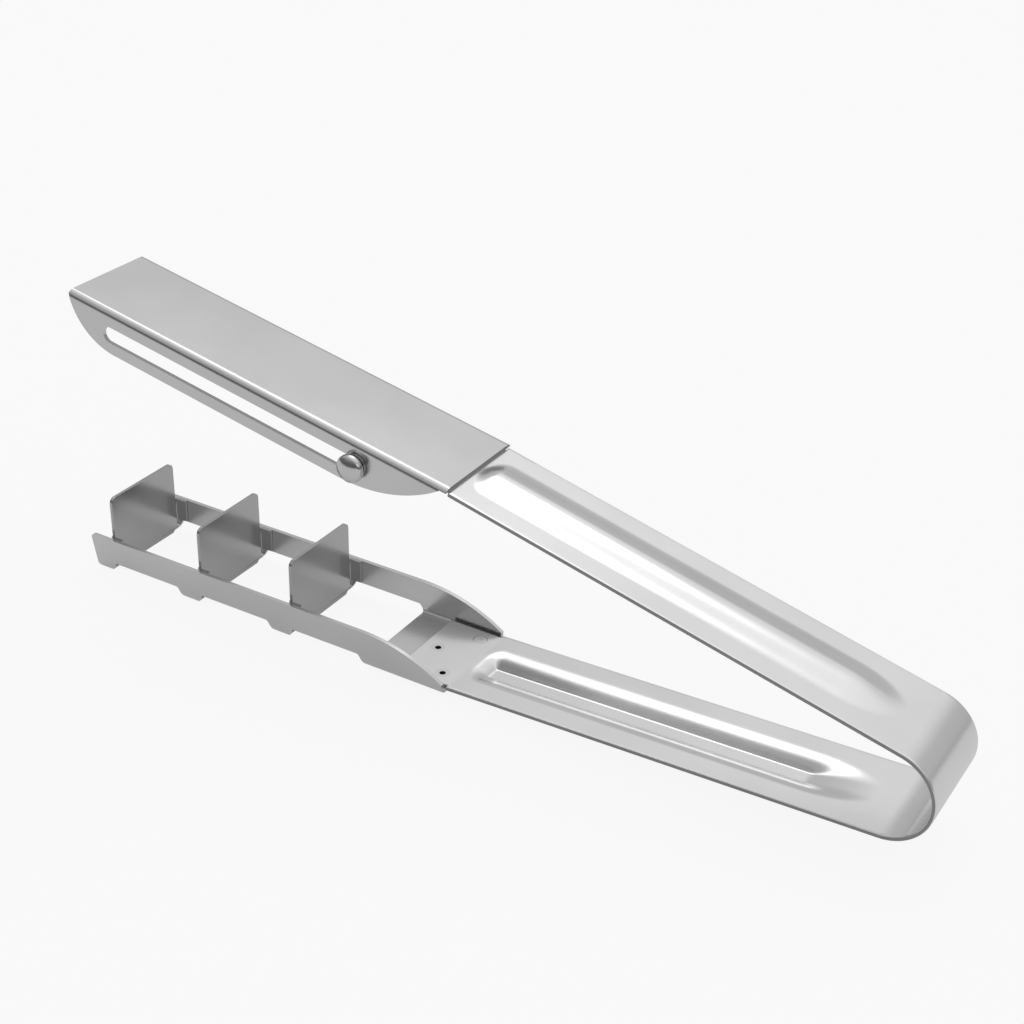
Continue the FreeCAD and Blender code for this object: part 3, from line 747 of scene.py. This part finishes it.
@dataclass
class SpringStrip:
    """The strip that makes both arms, the bend, the pad and the hidden tongue."""

    hinge: Vector
    pad_rearward: Vector
    cover_forward: Vector
    half_width: float
    sheet: float = 1.0 * MM
    radius: float = 10.0 * MM
    pad_length: float = 14.0 * MM
    pad_half: float = 11.6 * MM
    lower_length: float = 102.5 * MM
    upper_length: float = 107.5 * MM
    tongue_length: float = 30.0 * MM
    tongue_half: float = 11.3 * MM
    lower_tilt: float = 1.9
    upper_tilt: float = 2.35
    lower_gaps: tuple[float, float] = (1.1 * MM, 5.0 * MM)
    upper_gaps: tuple[float, float] = (4.0 * MM, 0.4 * MM)
    bend_step: float = 0.5 * MM
    across_step: float = 0.3 * MM
    bead_margin: float = 0.2 * MM
    edge: float = 0.28 * MM
    edge_faces: int = 4
    edge_on: float = 0.3

    def __post_init__(self) -> None:
        """Work out the directions of the arms and the stations of the bend and the cover."""
        turn = Matrix.Rotation(math.radians(-self.lower_tilt), 3, "Y")
        self.rearward = turn @ self.pad_rearward
        self.up = Vector((-self.rearward.z, 0.0, self.rearward.x))
        rise = Matrix.Rotation(math.radians(self.upper_tilt), 3, "Y")
        self.forward = rise @ self.cover_forward
        self.bend_angle = math.acos(self.rearward.dot(self.forward))
        self.bend_start = self.lower_length
        self.bend_end = self.bend_start + self.radius * self.bend_angle
        self.cover_start = self.bend_end + self.upper_length
        self.tongue_end = self.cover_start + self.tongue_length
        after_pad, before_bend = self.lower_gaps
        self.lower_bead = Bead(
            start=BeadEnd(after_pad, run=3.6 * MM, divided=6.5 * MM, step=0.3 * MM),
            end=BeadEnd(self.bend_start - before_bend, run=15.0 * MM, divided=18.0 * MM,
                        step=0.8 * MM),
            pressing=Pressing.TRAY, side_run=5.4 * MM, corner=5.6 * MM, depth=2.0 * MM)
        after_bend, before_cover = self.upper_gaps
        self.upper_bead = Bead(
            start=BeadEnd(self.bend_end + after_bend, run=13.0 * MM, divided=18.0 * MM,
                          step=0.7 * MM),
            end=BeadEnd(self.cover_start - before_cover, run=4.6 * MM, divided=7.0 * MM,
                        step=0.3 * MM),
            pressing=Pressing.SWELL, side_run=6.9 * MM, corner=7.0 * MM, depth=1.6 * MM)

    def point(self, along: float, across: float, outward: float) -> Vector:
        """Return where a point of the flat strip goes when the strip is bent.

        Args:
            along: The station along the strip, from the kink at the pad.
            across: The distance towards the far side.
            outward: The depth from the strip's inner face.

        Returns:
            The point in the model's frame.
        """
        turn = min(max((along - self.bend_start) / self.radius, 0.0), self.bend_angle)
        radial = -self.up * math.cos(turn) + self.rearward * math.sin(turn)
        tangent = self.up * math.sin(turn) + self.rearward * math.cos(turn)
        base = self.hinge + Vector((0.0, across, 0.0))
        if along < 0.0:
            kink = base - self.up * self.radius - self.rearward * self.bend_start
            pad_up = Vector((-self.pad_rearward.z, 0.0, self.pad_rearward.x))
            return kink + self.pad_rearward * along - pad_up * outward
        if along > self.cover_start:
            kink = base + radial * self.radius + tangent * self.upper_length
            crown = Vector((self.cover_forward.z, 0.0, -self.cover_forward.x))
            return kink + self.cover_forward * (along - self.cover_start) + crown * outward
        straight = min(along - self.bend_start, 0.0) + max(along - self.bend_end, 0.0)
        return base + radial * (self.radius + outward) + tangent * straight

    def lines_along(self) -> list[float]:
        """Return the stations at which the flat strip is divided along its length."""
        return [0.0, self.cover_start, *self.lower_bead.lines(),
                *stations(self.bend_start, self.bend_end, self.bend_step), *self.upper_bead.lines()]

    def flat(self) -> bmesh.types.BMesh:
        """Return the flat strip, divided where it is bent and pressed.

        Returns:
            The solid strip, x along it and y across it.
        """
        bm = bmesh.new()
        half = self.half_width
        corners = [(-self.pad_length, -half), (self.tongue_end, -half), (self.tongue_end, half),
                   (-self.pad_length, half)]
        bm.faces.new([bm.verts.new((x, y, 0.0)) for x, y in corners])
        pressed = self.lower_bead.half_width + self.bead_margin
        across = stations(self.across_step, pressed, self.across_step)
        across += [self.pad_half, self.tongue_half]
        cuts = [((value, 0.0, 0.0), (1.0, 0.0, 0.0)) for value in self.lines_along()]
        cuts += [((0.0, side * value, 0.0), (0.0, 1.0, 0.0))
                 for value in across for side in (-1, 1)]
        for place, normal in cuts:
            geometry = [*bm.verts, *bm.edges, *bm.faces]
            bmesh.ops.bisect_plane(bm, geom=geometry, plane_co=place, plane_no=normal,
                                   dist=CUT_SNAP)
        spare = [face for face in bm.faces if self.outside(face.calc_center_median())]
        bmesh.ops.delete(bm, geom=spare, context="FACES")
        thicken(bm, Vector((0.0, 0.0, self.sheet)))
        return bm

    def outside(self, centre: Vector) -> bool:
        """Return whether a face of the flat strip is cut away beside the pad or the tongue.

        Args:
            centre: The face's middle.

        Returns:
            True where the strip is narrower than the face's place.
        """
        beside_pad = centre.x < 0.0 and abs(centre.y) > self.pad_half
        return beside_pad or (centre.x > self.cover_start and abs(centre.y) > self.tongue_half)

    def build(self, finish: SteelFinish, cut: SteelFinish,
              rivets: Iterable[tuple[float, float, float]]) -> bpy.types.Object:
        """Cut, press and bend the strip.

        Args:
            finish: Its surface.
            cut: The surface of its sheared edges.
            rivets: Each rivet's place on the pad and its hole's radius.

        Returns:
            The bent strip, which rides on neither body.
        """
        bm = self.flat()
        soften(bm, self.edge, self.edge_faces)
        for along, across, bore in rivets:
            ring = arc((along, across), bore, 0.0, 351.0, 9.0)
            bm = carve(bm, prism(ring, Plane.PLAN, -self.sheet, 2 * self.sheet), Carving.TAKE)
        layer = bm.loops.layers.uv.new("sheet")
        for face in bm.faces:
            face.material_index = int(abs(face.normal.z) < self.edge_on)
            for loop in face.loops:
                loop[layer].uv = loop.vert.co.xy
        for vert in bm.verts:
            along, across, outward = vert.co
            outward += self.lower_bead.press(along, across)
            outward += self.upper_bead.press(along, across)
            vert.co = self.point(along, across, outward)
        # outward is down on the lower arm, so bending mirrors the strip and turns its faces over
        bmesh.ops.reverse_faces(bm, faces=bm.faces)
        piece = dress(as_object(bm, "spring_strip"), finish,
                      ["lower_arm", "spring_bend", "upper_arm"], None)
        piece.data.materials.append(cut.material())
        low = self.point(self.bend_start, 0.0, 0.0)
        high = self.point(self.bend_end, 0.0, 0.0)
        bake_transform(piece)
        return piece


@dataclass
class PadRivets:
    """The three fasteners that hold the frame under the pad, in the lower jaw's frame."""

    place: Place
    grip: float = 2.0 * MM
    front_setback: float = 10.1 * MM
    rear_setback: float = 3.6 * MM
    side_offset: float = 8.1 * MM
    tubular: int = 2
    steps: int = 40
    head: float = 1.65 * MM
    head_depth: float = 0.35 * MM
    head_slope: float = 0.01 * MM
    tubular_rim: float = 0.01 * MM
    solid_rim: float = 0.05 * MM
    shank: float = 1.1 * MM
    bore: float = 0.72 * MM
    bore_lip: float = 0.05 * MM
    dark_below: float = 0.04 * MM
    tail: float = 1.9 * MM
    tail_height: float = 0.55 * MM
    tail_taper: tuple[float, float] = (0.3 * MM, 0.2 * MM)
    dimple: float = 0.4 * MM
    dimple_floor: float = 0.36 * MM
    dimple_depth: float = 0.1 * MM
    flush_gap: float = 0.005 * MM
    seen_gap: float = 0.05 * MM

    def holes(self) -> list[tuple[float, float, float]]:
        """Return each rivet's place on the pad and the radius of the hole around its head."""
        flush = self.head + self.flush_gap
        return [(-self.front_setback, 0.0, flush), (-self.rear_setback, -self.side_offset, flush),
                (-self.rear_setback, self.side_offset, self.head + self.seen_gap)]

    def profile(self, hollow: bool) -> Outline:
        """Return a rivet's profile, its flush head up and its formed tail down.

        Args:
            hollow: Whether the rivet is tubular, with a bore, or solid, with a dimple.

        Returns:
            The profile about the rivet's axis.
        """
        low = -self.grip - self.tail_height
        soft = self.tubular_rim if hollow else self.solid_rim
        taper_run, taper_rise = self.tail_taper
        rim = [(self.head - soft, 0.0), (self.head, -soft), (self.head, -self.head_depth),
               (self.shank, -self.head_depth - self.head_slope), (self.shank, -self.grip),
               (self.tail, -self.grip), (self.tail, low + taper_rise), (self.tail - taper_run, low)]
        if hollow:
            lip = (self.bore, -self.bore_lip)
            return [lip, (self.bore + self.bore_lip, 0.0), *rim, (self.bore, low), lip]
        dimple = [(0.0, -self.dimple_depth), (self.dimple_floor, -self.dimple_depth),
                  (self.dimple, 0.0)]
        return [*dimple, *rim, (0.0, low)]

    def turned(self, number: int) -> bmesh.types.BMesh:
        """Return one rivet in its place.

        Args:
            number: Its number among the holes, in which the tubular ones come first.

        Returns:
            The turned rivet.
        """
        along, across, _ = self.holes()[number]
        bm = lathe(self.profile(hollow=number < self.tubular), self.steps)
        upright = Matrix.Rotation(math.radians(90.0), 4, "X")
        shift = Matrix.Translation((along, across, self.grip))
        bmesh.ops.transform(bm, matrix=self.place.matrix() @ shift @ upright, verts=bm.verts)
        return bm

    def build(self, finish: SteelFinish, inside: SteelFinish) -> None:
        """Turn the two tubular rivets and the solid one.

        Args:
            finish: Their surface.
            inside: The near-black surface inside the tubular rivets' bores below the pad's face,
                painted shade of the deep hole.
        """
        tubes = [self.turned(number) for number in range(self.tubular)]
        pair = as_object(gather(*tubes), "tubular_rivets")
        dress(pair, finish, ["pad_tubular_rivets"], Body.LOWER)
        pair.data.materials.append(inside.material())
        turn = self.place.matrix().inverted()
        for face in pair.data.polygons:
            centre = turn @ face.center
            reach = min(math.hypot(centre.x - along, centre.y - across)
                        for along, across, _ in self.holes())
            # bore faces below the pad's face get the near-black material: painted shade inside the
            # hole
            if reach < self.bore and centre.z < self.grip - self.dark_below:
                face.material_index = 1
        solid = as_object(self.turned(self.tubular), "solid_rivet")
        dress(solid, finish, ["pad_rivet"], Body.LOWER)


@dataclass
class Slider:
    """The cross pin with its washers and domed heads, about an axis across the cover."""

    centre: Vector
    steps: int = 64
    washer_start: float = 13.45 * MM
    washer: float = 0.7 * MM
    washer_radius: float = 2.7 * MM
    washer_edge: float = 0.1 * MM
    washer_play: float = 0.05 * MM
    washer_gap: float = 0.01 * MM
    pin_radius: float = 1.85 * MM
    head_radius: float = 3.3 * MM
    head_edge: float = 0.25 * MM
    rim: float = 1.1 * MM
    dome: float = 1.3 * MM

    def part(self, profile: Outline, name: str, finish: SteelFinish, node: str,
             sides: tuple[int, ...] = (1,)) -> bpy.types.Object:
        """Turn one part of the slider.

        Args:
            profile: Its profile about the pin's axis.
            name: The piece's name.
            finish: Its surface.
            node: The CAD node that it replaces.
            sides: 1 for the far side, -1 for the near side, or both.

        Returns:
            The piece.
        """
        parts = []
        for side in sides:
            turned = lathe(profile, self.steps)
            mirror = Matrix.Diagonal((1.0, side, 1.0, 1.0))
            bmesh.ops.transform(turned, matrix=mirror, verts=turned.verts)
            bmesh.ops.recalc_face_normals(turned, faces=turned.faces)
            parts.append(turned)
        bm = gather(*parts)
        bmesh.ops.translate(bm, verts=bm.verts, vec=self.centre)
        return dress(as_object(bm, name), finish, [node], Body.SLIDER)

    def build(self, polished: SteelFinish, satin: SteelFinish) -> None:
        """Turn the pin, the washers and the heads.

        Args:
            polished: The heads' surface.
            satin: The pin's and the washers' surface.
        """
        head_start = self.washer_start + self.washer
        head_end = head_start + self.rim
        flat = self.head_radius - self.head_edge
        sphere = (self.head_radius ** 2 + self.dome ** 2) / (2 * self.dome)
        reach = math.degrees(math.asin(flat / sphere))
        dome = arc((0.0, head_end + self.dome - sphere), sphere, 90.0 - reach, 90.0, 3.0)
        dome[-1] = (0.0, dome[-1][1])
        head = [(0.0, head_start), (flat, head_start),
                (self.head_radius, head_start + self.head_edge),
                (self.head_radius, head_end - self.head_edge), *dome]
        self.part(head, "head_far", polished, "slider_head_far", (1,))
        self.part(head, "head_near", polished, "slider_head_near", (-1,))
        start, end = self.washer_start, head_start - self.washer_gap
        bore = self.pin_radius + self.washer_play
        rim, edge = self.washer_radius, self.washer_edge
        ring = [(bore, start), (rim - edge, start), (rim, start + edge), (rim, end - edge),
                (rim - edge, end), (bore, end), (bore, start)]
        self.part(ring, "washers", satin, "slider_washers", (1, -1))
        pin = [(0.0, -end), (self.pin_radius, -end), (self.pin_radius, end), (0.0, end)]
        self.part(pin, "pin", satin, "slider_pin")


@dataclass(frozen=True)
class Lamp:
    """A soft panel lamp: where it hangs, its width and height, and its power in watts."""

    name: str
    place: tuple[float, float, float]
    size: tuple[float, float]
    power: float

    def hang(self, aim: Vector) -> None:
        """Hang the lamp.

        Args:
            aim: The point that it faces.
        """
        lamp = bpy.data.lights.new(self.name, "AREA")
        lamp.shape = "RECTANGLE"
        lamp.size, lamp.size_y = self.size
        lamp.energy = self.power
        item = bpy.data.objects.new(self.name, lamp)
        item.location = self.place
        item.rotation_euler = (aim - Vector(self.place)).to_track_quat("-Z", "Y").to_euler()
        bpy.context.scene.collection.objects.link(item)


@dataclass
class Studio:
    """Floor, surroundings, lamps and camera."""

    aim: Vector
    azimuth: float = 30.28
    elevation: float = 29.78
    roll: float = 1.836
    distance: float = 400.74 * MM
    focal_length: float = 64.22
    sensor: float = 36.0
    floor_size: float = 6.0
    floor_drop: float = 0.05 * MM
    floor_tone: float = 0.70
    floor_white: float = 0.90
    metal_sees_floor: float = 0.35
    metal_sees_white: float = 0.10
    far_side_lift: float = 0.3
    room: tuple[tuple[float, float], ...] = ((0.0, 0.03), (0.2, 0.14), (0.36, 0.46), (0.68, 0.47),
                                             (0.83, 0.80), (1.0, 0.95))
    lamps: tuple[Lamp, ...] = (Lamp("overhead", (-0.25, 0.45, 0.95), (0.6, 0.5), 1.06),
                               Lamp("side", (0.9, -0.5, 0.6), (0.5, 0.4), 0.5))

    def whiten(self, tree: bpy.types.NodeTree, lit: bpy.types.NodeSocket,
               white: bpy.types.NodeSocket, camera: float, metal: float) -> bpy.types.NodeSocket:
        """Mix white into a shader where it is seen, and leave the light that it gives.

        Args:
            tree: The nodes to add to.
            lit: The shader.
            white: The white shader.
            camera: The share of white that the camera sees.
            metal: The share of white that a reflection sees.

        Returns:
            The mixed shader.
        """
        nodes, links = tree.nodes, tree.links
        path = nodes.new("ShaderNodeLightPath")
        direct = nodes.new("ShaderNodeMath")
        direct.operation = "MULTIPLY"
        direct.inputs[1].default_value = camera
        links.new(path.outputs["Is Camera Ray"], direct.inputs[0])
        mirrored = nodes.new("ShaderNodeMath")
        mirrored.operation = "MULTIPLY_ADD"
        mirrored.inputs[1].default_value = metal
        links.new(path.outputs["Is Glossy Ray"], mirrored.inputs[0])
        links.new(direct.outputs["Value"], mirrored.inputs[2])
        mix = nodes.new("ShaderNodeMixShader")
        links.new(mirrored.outputs["Value"], mix.inputs["Fac"])
        links.new(lit, mix.inputs[1])
        links.new(white, mix.inputs[2])
        return mix.outputs["Shader"]

    def build_floor(self) -> None:
        """Lay the pale floor, which keeps a soft shadow."""
        bm = bmesh.new()
        bmesh.ops.create_grid(bm, x_segments=1, y_segments=1, size=self.floor_size)
        bmesh.ops.translate(bm, verts=bm.verts, vec=(0.0, 0.0, -self.floor_drop))
        floor = as_object(bm, "floor")
        material = bpy.data.materials.new("floor")
        material.use_nodes = True
        tree = material.node_tree
        tree.nodes.remove(tree.nodes["Principled BSDF"])
        matte = tree.nodes.new("ShaderNodeBsdfDiffuse")
        matte.inputs["Color"].default_value = grey(self.floor_tone)
        glow = tree.nodes.new("ShaderNodeEmission")
        glow.inputs["Color"].default_value = grey(1.0)
        mixed = self.whiten(tree, matte.outputs["BSDF"], glow.outputs["Emission"],
                            self.floor_white, self.metal_sees_floor)
        tree.links.new(mixed, tree.nodes["Material Output"].inputs["Surface"])
        floor.data.materials.append(material)

    def build_world(self) -> None:
        """Surround the object with a room that is bright above and greyer at the horizon."""
        world = bpy.data.worlds.new("room")
        bpy.context.scene.world = world
        world.use_nodes = True
        tree = world.node_tree
        nodes, links = tree.nodes, tree.links
        room = nodes["Background"]
        place = nodes.new("ShaderNodeTexCoord")
        height = nodes.new("ShaderNodeVectorMath")
        height.operation = "DOT_PRODUCT"
        height.inputs[1].default_value = (0.0, self.far_side_lift, 1.0)
        links.new(place.outputs["Generated"], height.inputs[0])
        ramp = nodes.new("ShaderNodeValToRGB")
        elements = ramp.color_ramp.elements
        while len(elements) < len(self.room):
            elements.new(0.5)
        for stop, (position, tone) in zip(elements, self.room):
            stop.position = position
            stop.color = grey(tone)
        links.new(height.outputs["Value"], ramp.inputs["Fac"])
        links.new(ramp.outputs["Color"], room.inputs["Color"])
        room.inputs["Strength"].default_value = 1.0
        white = nodes.new("ShaderNodeBackground")
        white.inputs["Color"].default_value = grey(1.0)
        mixed = self.whiten(tree, room.outputs["Background"], white.outputs["Background"],
                            1.0, self.metal_sees_white)
        links.new(mixed, nodes["World Output"].inputs["Surface"])

    def build_camera(self) -> None:
        """Set up the camera."""
        azimuth, elevation = math.radians(self.azimuth), math.radians(self.elevation)
        level = math.cos(elevation)
        away = Vector((math.sin(azimuth) * level, -math.cos(azimuth) * level,
                       math.sin(elevation)))
        lens = bpy.data.cameras.new("camera")
        lens.lens = self.focal_length
        lens.sensor_width = self.sensor
        camera = bpy.data.objects.new("camera", lens)
        roll = Matrix.Rotation(math.radians(self.roll), 3, "Z")
        turn = (-away).to_track_quat("-Z", "Y").to_matrix() @ roll
        camera.matrix_world = Matrix.Translation(self.aim + away * self.distance) @ turn.to_4x4()
        bpy.context.scene.collection.objects.link(camera)
        bpy.context.scene.camera = camera

    def build(self) -> None:
        """Set up everything around the object."""
        bpy.context.scene.view_settings.view_transform = "Standard"
        self.build_floor()
        self.build_world()
        for lamp in self.lamps:
            lamp.hang(self.aim)
        self.build_camera()


def joint(name: str) -> dict:
    """Return a packed joint.

    Args:
        name: The joint's name.

    Returns:
        Its record.
    """
    return next(item for item in frame["joints"] if item["name"] == name)


def middle(node: str) -> Vector:
    """Return the middle of a CAD node's box.

    Args:
        node: The node's name.

    Returns:
        The point in the model's frame.
    """
    low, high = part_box(node)
    return (low + high) / 2


def main() -> None:
    """Build every piece and the studio."""
    logging.basicConfig(level=logging.INFO, format="%(name)s %(message)s")
    foot = frame["record"]["mounts"][0]
    jaw_up = -Vector(foot["axis"])
    jaw_rearward = Vector((jaw_up.z, 0.0, -jaw_up.x))
    forward = Vector(joint("slider_slide")["axis"])
    cover_up = Vector((forward.z, 0.0, -forward.x))
    pin = middle("slider_pin")

    jaw = LowerJaw(Place(Vector(foot["pos_m"]), jaw_rearward, jaw_up),
                   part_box("frame_rail_far")[1].y)
    jaw.place = jaw.place.moved(-(jaw.foot_starts()[0] + jaw.foot_length / 2))
    cover = Cover(Place(pin, -forward, cover_up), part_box("cover_top")[1].y)
    cover.place = cover.place.moved(cover.slot_rear, -cover.slot_level)
    strip = SpringStrip(Vector(joint("squeeze")["pos_m"]), jaw_rearward, forward,
                        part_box("spring_bend")[1].y)
    rivets = PadRivets(jaw.place)

    strip_steel = SteelFinish("strip_steel", 0.80, 0.23, Grain.SHEET, (30.0, 2600.0, 1.0))
    # dark sheared steel: the strip's real sheared edges, and painted gap shadow on the cover's rear
    # end face
    sheared_and_gap_shade_steel = SteelFinish("sheared_and_gap_shade_steel", 0.30, 0.35)
    cover_steel = SteelFinish("cover_steel", 0.64, 0.22)
    frame_steel = SteelFinish("frame_steel", 0.64, 0.24)
    # the blades are painted darker than the frame's steel, as painted shade of the reflections
    # between the rails
    shaded_blade_steel = SteelFinish("shaded_blade_steel", 0.46, 0.22)
    rivet_steel = SteelFinish("rivet_steel", 0.74, 0.26)
    # near-black painted shade for the inside of the tubular rivets' bores
    bore_painted_shade = SteelFinish("bore_painted_shade", 0.06, 0.50)
    pin_steel = SteelFinish("pin_steel", 0.60, 0.25)
    polished = SteelFinish("polished_steel", 0.62, 0.17, line_depth=0.04)

    strip.build(strip_steel, sheared_and_gap_shade_steel, rivets.holes())
    cover.build(cover_steel, sheared_and_gap_shade_steel)
    jaw.build_frame(frame_steel)
    for number, name in enumerate(("rear", "middle", "front")):
        jaw.build_blade(name, number, shaded_blade_steel)
    rivets.build(rivet_steel, bore_painted_shade)
    Slider(pin).build(polished, pin_steel)
    Studio(aim=Vector((1.56 * MM, 4.29 * MM, 42.09 * MM))).build()


if __name__ == "__main__":
    main()
